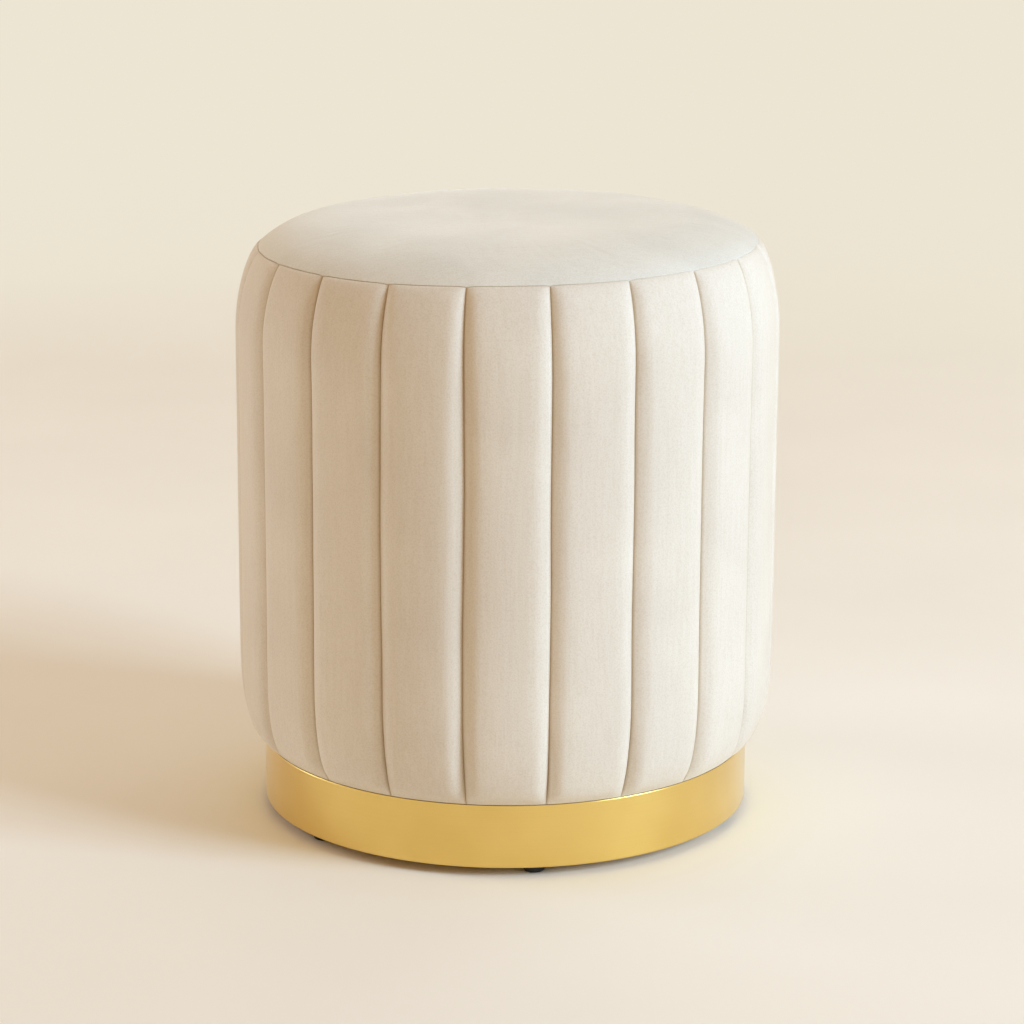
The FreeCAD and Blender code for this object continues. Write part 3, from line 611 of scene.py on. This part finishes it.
def twisted_thread(name):
    """Ivory polyester sewing thread: a faint twist along each stitch, a little darker than the cloth."""
    material, tree, shader = new_material(name, Roughness=0.6, Sheen_Weight=0.2)
    place = add_node(tree, "ShaderNodeTexCoord").outputs["Object"]
    twist = add_node(
        tree, "ShaderNodeTexWave", {"Scale": 900.0, "Distortion": 1.0}, {"Vector": place},
        bands_direction="DIAGONAL",
    )
    colour = add_node(
        tree, "ShaderNodeValToRGB", links={"Fac": twist.outputs["Fac"]},
        stops=[(0.2, "#d5c8b2"), (0.8, "#ece3d2")],
    ).outputs["Color"]
    tree.links.new(colour, shader.inputs["Base Color"])
    return material


def seen_ray(tree):
    """Socket that is 1 for a ray that shows the backdrop, and 0 for one that lights the object."""
    path = add_node(tree, "ShaderNodeLightPath").outputs
    shown = add_node(
        tree, "ShaderNodeMath", links={0: path["Is Camera Ray"], 1: path["Is Glossy Ray"]},
        operation="MAXIMUM",
    )
    return add_node(
        tree, "ShaderNodeMath", links={0: shown.outputs[0], 1: path["Is Transmission Ray"]},
        operation="MAXIMUM",
    ).outputs[0]


def paper_sweep(name):
    """Matt studio paper: pale and warm, with a faint mottle of its pulp.

    From 1.1 to 2.6 m away from the stool it eases into the even colour of the backdrop.
    """
    material, tree, shader = new_material(name, Roughness=0.95, Specular_IOR_Level=0.1)
    place = add_node(tree, "ShaderNodeTexCoord").outputs["Object"]
    pulp = add_node(tree, "ShaderNodeTexNoise", {"Scale": 3.0, "Detail": 2.0}, {"Vector": place})
    mottle = add_node(
        tree, "ShaderNodeValToRGB", links={"Fac": pulp.outputs["Fac"]},
        stops=[(0.3, "#fbfbfb"), (0.7, "#ffffff")],
    ).outputs["Color"]
    sheet = add_node(
        tree, "ShaderNodeMix", {0: 1.0, 6: linear("#fbf7ee")}, {7: mottle}, data_type="RGBA",
        blend_type="MULTIPLY",
    )
    tree.links.new(sheet.outputs[2], shader.inputs["Base Color"])
    away = add_node(tree, "ShaderNodeVectorMath", links={0: place}, operation="LENGTH").outputs["Value"]
    far = add_node(
        tree, "ShaderNodeMapRange", {"From Min": 1.1, "From Max": 2.6}, {"Value": away},
        interpolation_type="SMOOTHSTEP",
    )
    share = add_node(
        tree, "ShaderNodeMath", links={0: far.outputs["Result"], 1: seen_ray(tree)}, operation="MULTIPLY",
    ).outputs[0]
    even = add_node(tree, "ShaderNodeEmission", {"Color": linear(BACKDROP), "Strength": 1.0}).outputs[0]
    either = add_node(
        tree, "ShaderNodeMixShader", links={0: share, 1: shader.outputs[0], 2: even},
    ).outputs[0]
    tree.links.new(either, tree.nodes["Material Output"].inputs["Surface"])
    return material


# ---------------------------------------------------------------- camera
def set_camera():
    """The photograph's camera, fitted to the band, the seams and the outline."""
    data = bpy.data.cameras.new("photo_camera")
    data.sensor_width = 36.0
    data.lens = 119.53
    camera = bpy.data.objects.new("photo_camera", data)
    pitch, roll = math.radians(90 - 14.473), math.radians(0.292)
    tilt = Matrix.Rotation(pitch, 4, "X") @ Matrix.Rotation(roll, 4, "Z")
    round_stool = Matrix.Rotation(-0.0049, 4, "Z")
    camera.matrix_world = round_stool @ Matrix.Translation((0.00404, -2.4497, 0.8532)) @ tilt
    bpy.context.scene.collection.objects.link(camera)
    bpy.context.scene.camera = camera


# ---------------------------------------------------------------- soft goods
def side_cover():
    """Velvet sleeve and its pads as one closed padded form.

    At a height each channel is flat over 60% of its width and falls to its sewn
    lines along arcs of 62 degrees, radius = line + depth * (cos t - cos 62) / (1 - cos 62)
    where the place across goes with sin t. The line itself is a narrow crease. The
    rows follow the crest curve up. The profile then rolls into the top seam, runs
    down inside on the wrap, and turns under at the band as a hem.
    """
    turn = np.radians([14, 27, 39, 50, 58.5, 62])
    side = FLAT_SHARE + (1 - FLAT_SHARE) * np.sin(turn) / math.sin(turn[-1])
    fall = (np.cos(turn) - math.cos(turn[-1])) / (1 - math.cos(turn[-1]))
    across = np.concatenate([-side[::-1], np.linspace(-FLAT_SHARE, FLAT_SHARE, 5), side[:-1]])
    puff = np.concatenate([fall[::-1], np.ones(5), fall[:-1]])
    share = (across + 1) / 2

    # The rows lie closer together where the profile bends, near the band and the seam.
    even = np.linspace(0, 1, 66)
    rise = 0.35 * even + 0.65 * (0.5 - 0.5 * np.cos(np.pi * even))
    height = BAND_TOP + 0.7 + (SEAM_HEIGHT - BAND_TOP - 0.9) * rise
    line = sewn_radius(height)[:, None, None]
    depth = crest_radius(height)[:, None, None] - line
    plump = 1 + (PAD_FULLNESS[None, :, None] - 0.05) * (1 - across ** 2)
    radius = line + depth * puff * plump - CREASE_DEPTH * (across == -1)
    wander = line_wander(height)
    lean = (1 - share) * wander[:, :, None] + share * np.roll(wander, -1, 1)[:, :, None]
    turned = np.arange(CHANNELS)[None, :, None] + (share - 0.5)
    angle = turned * TAU / CHANNELS + lean / FULL_RADIUS
    shoulder = np.clip((height - (SEAM_HEIGHT - SHOULDER_RISE)) / SHOULDER_RISE, 0, 1)[:, None, None]
    raised = height[:, None, None] + seam_wander(angle) * shoulder ** 2 * (3 - 2 * shoulder)
    outside = around(radius, angle, raised).reshape(len(height), -1, 3)

    # Radius and height over the seam of each row inside it, and 1 where it follows the seam's wander.
    inside = np.array([
        (SEAM_RADIUS - 0.35, -0.12, 1), (SEAM_RADIUS - 0.9, -0.5, 1), (SEAM_RADIUS - 1.1, -2.4, 1),
        (WRAP_RADIUS, -5.5, 1), (WRAP_RADIUS, -36.0, 0), (WRAP_RADIUS, -185.0, 0),
    ])
    # Radius and height over the band of each row of the hem.
    hem = np.array([
        (WRAP_RADIUS, 1.4), (HEM_RADIUS + 0.8, 1.3), (HEM_RADIUS, 0.7), (HEM_RADIUS + 0.8, 0.1),
        (BAND_RADIUS - 2.0, 0.08), (BAND_RADIUS - 0.5, 0.15),
    ])
    at_top, at_foot = angle[-1].ravel()[None, :], angle[0].ravel()[None, :]
    inside_height = SEAM_HEIGHT + inside[:, 1:2] + inside[:, 2:] * seam_wander(at_top)
    closing = np.concatenate([
        around(inside[:, :1], at_top, inside_height),
        around(hem[:, :1], at_foot, BAND_TOP + hem[:, 1:]),
    ])
    cover = grid_mesh("side_cover_velvet", np.concatenate([outside, closing]), wrap_rows=True)

    # The sewn lines and the seam are marked for the velvet's painted shade of the creases, where the pile
    # also parts; along the seam it is darker at the left, away from the light.
    from_line = (1 - np.abs(across)) * math.pi * FULL_RADIUS / CHANNELS
    at_line = np.tile(np.exp(-(from_line / CREASE_SHADE_WIDTH) ** 2), CHANNELS)
    sewn = np.broadcast_to(at_line, outside.shape[:2])
    at_seam = np.broadcast_to(0.5 * seam_gape_and_shade(at_top), closing.shape[:2])
    mark(cover, "sewn", np.concatenate([sewn, at_seam]))

    # The cloth is held at its sewn lines, near the band and the seam, and inside.
    held = np.ones((len(outside) + len(closing), outside.shape[1]), bool)
    held[4:len(outside) - 7] = np.tile(np.abs(across) > 0.96, CHANNELS)
    filled_out(cover, held.ravel(), pressure=2.0, cap=0.5)
    smooth = cover.modifiers.new("smooth", "SUBSURF")
    smooth.levels = smooth.render_levels = 1
    cloth = velvet("ivory_velvet_side", (1.0, 1.0, 0.07), [(0.32, "#e5dfd6"), (0.68, "#ebe6dd")])
    placed(cover, cloth, "velvet", "side_cover", *[f"channel_pad_{k + 1}" for k in range(CHANNELS)])


def seat_cover():
    """Crowned seat panel over its foam as one closed padded form.

    The crown is z = seam + rise * (1 - (r / R)^7.5), nearly flat with a tight rim,
    plus a few broad waves of about half a millimetre where the foam gives. It is
    carried round as rings. The rim rolls down into the seam, and the foam below is
    straight and flat underneath.
    """
    angle = np.arange(400) * TAU / 400
    rise = HEIGHT - SEAM_HEIGHT
    # Radius and height of each row: of the foam from its underside up, then of the rim's roll at the seam.
    under = np.array([(60.0, 0.0), (120.0, 0.0), (168.0, 0.0), (176.0, 0.6), (176.8, 2.0), (176.9, 24.0)])
    roll = np.array([(-4.0, -4.6), (-1.3, -2.6), (-1.1, -0.5), (-0.6, 0.05), (-0.45, 0.35)])
    share = np.sin(np.linspace(0.06, np.arcsin(0.9960), 50))[::-1]
    radius = np.concatenate([under[:, 0], SEAM_RADIUS + roll[:, 0], SEAM_RADIUS * share])[:, None]
    at_rim = np.concatenate([np.zeros(len(under) + 1), np.ones(len(roll) - 1), share ** 40])[:, None]
    radius = radius + 0.55 * at_rim * (1 - seam_gape_and_shade(angle))[None, :]
    crown = SEAM_HEIGHT + rise * (1 - share ** CROWN_SQUARENESS)
    level = np.concatenate([SEAT_FOOT + under[:, 1], SEAM_HEIGHT + roll[:, 1], crown])
    rim = np.concatenate([np.zeros(len(under)), np.ones(len(roll)), share ** 5])[:, None]
    top = np.concatenate([np.zeros(len(under) + len(roll)), 1 - share ** 12])[:, None]
    lift, notch = seam_lift(angle)[None, :], (seam_wander(angle) - seam_lift(angle))[None, :]
    points = around(radius, angle[None, :], level[:, None] + rim * lift + rim ** 16 * notch)
    x, y = points[..., 0], points[..., 1]
    wave = 0.26 * np.sin(x / 21 + y / 47 + 0.4) + 0.20 * np.sin(y / 17 - x / 60 + 1.9)
    ripple = 0.16 * np.sin(x / 13 - y / 25)
    points[..., 2] += top * (wave + ripple - 0.4)
    seat = capped_mesh("seat_cover_velvet", points, [(0, 0, SEAT_FOOT), (0, 0, HEIGHT - 0.3)])
    # The roll at the seam is marked for the velvet's painted shade, darker at the left, away from the light.
    at_seam = np.concatenate([np.zeros(len(under)), np.full(len(roll), 0.5), np.zeros(len(share))])
    sewn = at_seam[:, None] * seam_gape_and_shade(angle)[None, :]
    mark(seat, "sewn", np.append(sewn.ravel(), [0, 0]))
    held = np.zeros(points.shape[:2], bool)
    held[:len(under) + len(roll)] = True
    filled_out(seat, np.append(held.ravel(), [True, False]), pressure=1.5, cap=0.8)
    # The seat's tones are a cooler, greyer ivory than the side's, on the same cloth: painted colour of the
    # cool light from above.
    cloth = velvet("ivory_velvet_seat_top_lit", (0.25, 1.0, 1.0), [(0.32, "#e3e4df"), (0.68, "#edeee9")])
    placed(seat, cloth, "velvet", "top_cover", "seat_foam")


def top_seam_stitches():
    """Thread of the top seam: one short lozenge for each stitch, sunk between the two covers.

    Each is six rings of six points, its thickness going with sqrt(1.05 - t^2) for t
    from -1 to 1 along it, and it is laid along the seam line.
    """
    count = round(TAU * SEAM_RADIUS / STITCH_PITCH)
    middle = np.arange(count)[:, None, None] * TAU / count
    along = np.linspace(-1, 1, 6)[None, :, None]
    turn = np.arange(6)[None, None, :] * TAU / 6
    thick = 0.20 * np.sqrt(np.clip(1.05 - along ** 2, 0, 1))
    angle = middle + along * 0.36 * STITCH_PITCH / SEAM_RADIUS
    sunk = 0.62 + 0.25 * along ** 2
    height = SEAM_HEIGHT - 0.05 + seam_wander(angle)
    points = around(SEAM_RADIUS - sunk + thick * np.cos(turn), angle, height - thick * np.sin(turn))
    tips = angle[:, [0, -1], 0]
    ends = around(SEAM_RADIUS - 0.92, tips, SEAM_HEIGHT - 0.05 + seam_wander(tips))
    stitches = capped_mesh("top_seam_stitches", points, ends, copies=count)
    placed(stitches, twisted_thread("ivory_sewing_thread"), "velvet")


# ---------------------------------------------------------------- plinth
def gold_band():
    """Strip profile with eased edges, carried round the plinth, with a butt joint at the back."""
    columns = 361
    gap = BAND_JOINT / 2 / BAND_RADIUS
    angle = np.linspace(np.pi + gap, 3 * np.pi - gap, columns)
    outer, inner = BAND_RADIUS, BAND_RADIUS - BAND_SHEET
    ease = 0.25
    profile = np.array([
        (outer - ease, BAND_FOOT), (outer, BAND_FOOT + ease), (outer, BAND_FOOT + 1.0),
        (outer, BAND_TOP - 1.0), (outer, BAND_TOP - ease), (outer - ease, BAND_TOP),
        (inner + ease, BAND_TOP), (inner, BAND_TOP - ease),
        (inner, BAND_FOOT + ease), (inner + ease, BAND_FOOT),
    ])
    rings = around(profile[:, :1], angle[None, :], profile[:, 1:])

    # Quads along the strip, and a flat face over each of its two ends.
    index = np.arange(len(profile) * columns).reshape(len(profile), columns)
    following = np.roll(index, -1, 0)
    strip = np.stack([index[:, :-1], index[:, 1:], following[:, 1:], following[:, :-1]], -1).reshape(-1, 4)
    joint_ends = [index[:, 0].tolist(), index[::-1, -1].tolist()]
    band = mesh_object("gold_band", rings.reshape(-1, 3), strip.tolist() + joint_ends)
    band.data.polygons.foreach_set("use_smooth", np.arange(len(strip) + 2) < len(strip))
    uv = band.data.uv_layers.new(name="Brushing")
    corner = np.zeros(len(band.data.loops), np.int64)
    band.data.loops.foreach_get("vertex_index", corner)
    turn = (corner % columns) / columns
    level = (rings.reshape(-1, 3)[corner, 2] - BAND_FOOT) / (BAND_TOP - BAND_FOOT)
    uv.data.foreach_set("uv", np.stack([turn, level], -1).astype(np.float32).ravel())
    placed(band, brushed_gold("satin_brushed_gold"), "gold_band", "plinth_band")


def smooth_glides():
    """Six moulded glides, each a profile turned about its own axis: a tapered dome on a round foot.

    The foot's edge is a quarter circle of 1.8 mm, and a pin goes up into the ring.
    """
    low, high = low_corner("glides"), high_corner("glides")
    at = GLIDE_TURN + np.arange(GLIDE_COUNT) * TAU / GLIDE_COUNT
    middle = around(GLIDE_CIRCLE, at, 0.0)[:, None, None, :]
    round_foot = np.linspace(0, np.pi / 2, 6)
    # The foot's edge, the flare under the plinth, and the pin.
    profile = np.concatenate([
        np.stack([5.95 + 1.8 * np.sin(round_foot), low[2] + 1.8 - 1.8 * np.cos(round_foot)], -1),
        [(9.4, BAND_FOOT - 1.0), (9.9, BAND_FOOT - 0.5), (10.0, BAND_FOOT - 0.02)],
        [(3.0, BAND_FOOT), (3.0, high[2])],
    ])
    turn = np.arange(40) * TAU / 40
    dome = around(profile[:, :1], turn[None, :], profile[:, 1:])[None]
    ends = middle[:, 0] + np.array([[0, 0, low[2]], [0, 0, high[2]]])
    glides = capped_mesh("moulded_glides", middle + dome, ends, copies=GLIDE_COUNT)
    placed(glides, moulded_nylon("black_moulded_nylon"), "glide_plastic", "glides")


def staple_wires(radius, level):
    """Staples of the felt: one 10 mm wire along the edge at each pucker's hollow."""
    at = (np.arange(FELT_STAPLES) + 0.5) * TAU / FELT_STAPLES
    corners = np.array([(a, b, c) for a in (-1, 1) for b in (-1, 1) for c in (-1, 1)], float)
    local = corners * np.array([5.0, 0.35, 0.25])
    out, side = around(1.0, at, 0.0), around(1.0, at + np.pi / 2, 0.0)
    middle = around(radius, at, level)
    points = middle[:, None] + local[None, :, :1] * side[:, None] + local[None, :, 1:2] * out[:, None]
    points[..., 2] += local[None, :, 2]
    box = np.array([(2, 3, 1, 0), (5, 7, 6, 4), (1, 5, 4, 0), (6, 7, 3, 2), (4, 6, 2, 0), (3, 7, 5, 1)])
    faces = (box + 8 * np.arange(FELT_STAPLES)[:, None, None]).reshape(-1, 4)
    wires = mesh_object("felt_staples", points.reshape(-1, 3), faces.tolist())
    bevel = wires.modifiers.new("wire_round", "BEVEL")
    bevel.width, bevel.segments = 0.12 * MM, 2
    placed(wires, drawn_wire("staple_wire"), "nail_steel")
    return wires


def dust_felt():
    """Round felt stretched under the plinth, puckered a little at each staple, with its staples.

    The sheet is z = level + 0.12 * (r / R)^6 * cos(24 a), and within the plinth's opening
    it sags by 0.5 * (1 - (r / opening)^2).
    """
    columns = 192
    outer = high_corner("dust_cover")[0]
    level = (low_corner("dust_cover")[2] + high_corner("dust_cover")[2]) / 2 - 0.05
    radius = outer * np.array([0.12, 0.3, 0.5, 0.68, 0.8, 0.88, 0.93, 0.965, 1.0])[:, None]
    angle = np.arange(columns)[None, :] * TAU / columns
    pucker = 0.12 * (radius / outer) ** 6 * np.cos(FELT_STAPLES * angle)
    deepest = 0.5
    sag = deepest * np.clip(1 - (radius / RING_INNER) ** 2, 0, 1)
    rings = around(radius, angle, level - sag + pucker)
    index = np.arange(len(radius) * columns).reshape(-1, columns)
    inner, outward = index[:-1], index[1:]
    quads = np.stack([inner, outward, np.roll(outward, -1, 1), np.roll(inner, -1, 1)], -1).reshape(-1, 4)
    fan = np.stack([index[0], np.roll(index[0], -1), np.full(columns, index.size)], -1)
    points = np.vstack([rings.reshape(-1, 3), [[0, 0, level - deepest]]])
    felt = mesh_object("dust_felt", points, quads.tolist() + fan.tolist())
    wall = felt.modifiers.new("felt_thickness", "SOLIDIFY")
    wall.thickness, wall.offset = 0.5 * MM, 0.0
    placed(felt, spunbond_felt("black_spunbond_felt"), "dust_felt", "dust_cover")
    wires = staple_wires(outer - 6.0, level - 0.45)


# ---------------------------------------------------------------- finishes of the frame's own pieces
def finish_frame():
    """Give every piece of the frame that is kept as it is its own material."""
    ply, zinc, wire = plywood("sanded_birch_plywood"), zinc_plate("clear_zinc_plate"), drawn_wire("nail_wire")
    finishes = {
        "plinth_lower_ring": ply, "plinth_upper_ring": ply, "base_board": ply, "top_board": ply,
        "plinth_block": planed_pine("planed_pine_blocks", (0.12, 0.12, 1.0)),
        "post": planed_pine("planed_pine_posts", (1.0, 1.0, 0.06)),
        "drum_wrap": tempered_hardboard("pressed_hardboard"),
        "plinth_bolts": zinc, "bolt_nuts": zinc, "plinth_nails": wire, "frame_nails": wire,
    }
    for name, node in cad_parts.items():
        finish = finishes.get(name.rstrip("_0123456789"))
        if finish is not None:
            node.data.materials.clear()
            node.data.materials.append(finish)


# ---------------------------------------------------------------- floor, backdrop and light
def set_stage():
    """Plain warm floor, wide enough for a look from any side, that sweeps up into the backdrop.

    It is level to 2.1 m behind the stool, turns up along a quarter circle of 0.7 m and goes on as a wall.
    """
    reach, bend_start, bend = 9000, 2100, 700
    turn = np.linspace(0.1, np.pi / 2, 16)
    level = np.linspace(-reach, bend_start, 24)
    wall = np.full(2, bend_start + bend)
    depth = np.concatenate([level, bend_start + bend * np.sin(turn), wall])
    height = np.concatenate([np.zeros(24), bend - bend * np.cos(turn), [2600, 4800]])
    width = np.linspace(-reach, reach, 19)
    points = np.zeros((len(depth), len(width), 3))
    points[..., 0] = width[None, :]
    points[..., 1] = depth[:, None]
    points[..., 2] = height[:, None]
    sweep = grid_mesh("studio_sweep", points, wrap_columns=False)
    sweep.data.materials.append(paper_sweep("warm_paper_sweep"))


def set_light():
    """Cool window from the right, a weak broad top light, a pale card at the left and a warm room.

    What the camera and glosses see of the room is the backdrop's own pale colour.
    """
    target = Vector((0, 0, 0.25))

    def panel(name, size, place, power, colour):
        data = bpy.data.lights.new(name, "AREA")
        data.shape = "RECTANGLE"
        data.size, data.size_y = size
        data.energy = power
        data.color = linear(colour)[:3]
        lamp = bpy.data.objects.new(name, data)
        aim = (target - Vector(place)).to_track_quat("-Z", "Y").to_matrix().to_4x4()
        lamp.matrix_world = Matrix.Translation(place) @ aim
        lamp.visible_camera = False
        bpy.context.scene.collection.objects.link(lamp)

    panel("key_window", (2.0, 2.6), (4.3, -2.15, 2.4), 257, "#c8e6ff")
    panel("overhead", (2.6, 2.6), (0.8, 0.2, 3.2), 16, "#d2e8ff")
    panel("left_card", (0.9, 1.6), (-2.40, 0.45, 1.0), 17, "#dcedff")
    world = bpy.data.worlds.new("warm_room")
    bpy.context.scene.world = world
    world.use_nodes = True
    tree = world.node_tree
    room = tree.nodes["Background"]
    room.inputs["Color"].default_value = linear("#ffcb7c")
    room.inputs["Strength"].default_value = 0.48
    pale = add_node(tree, "ShaderNodeBackground", {"Color": linear(BACKDROP), "Strength": 1.0})
    ends = {0: seen_ray(tree), 1: room.outputs[0], 2: pale.outputs[0]}
    either = add_node(tree, "ShaderNodeMixShader", links=ends)
    tree.links.new(either.outputs[0], tree.nodes["World Output"].inputs["Surface"])


set_camera()
side_cover()
seat_cover()
top_seam_stitches()
gold_band()
smooth_glides()
dust_felt()
finish_frame()
set_stage()
set_light()
bpy.context.scene.view_settings.view_transform = "Standard"
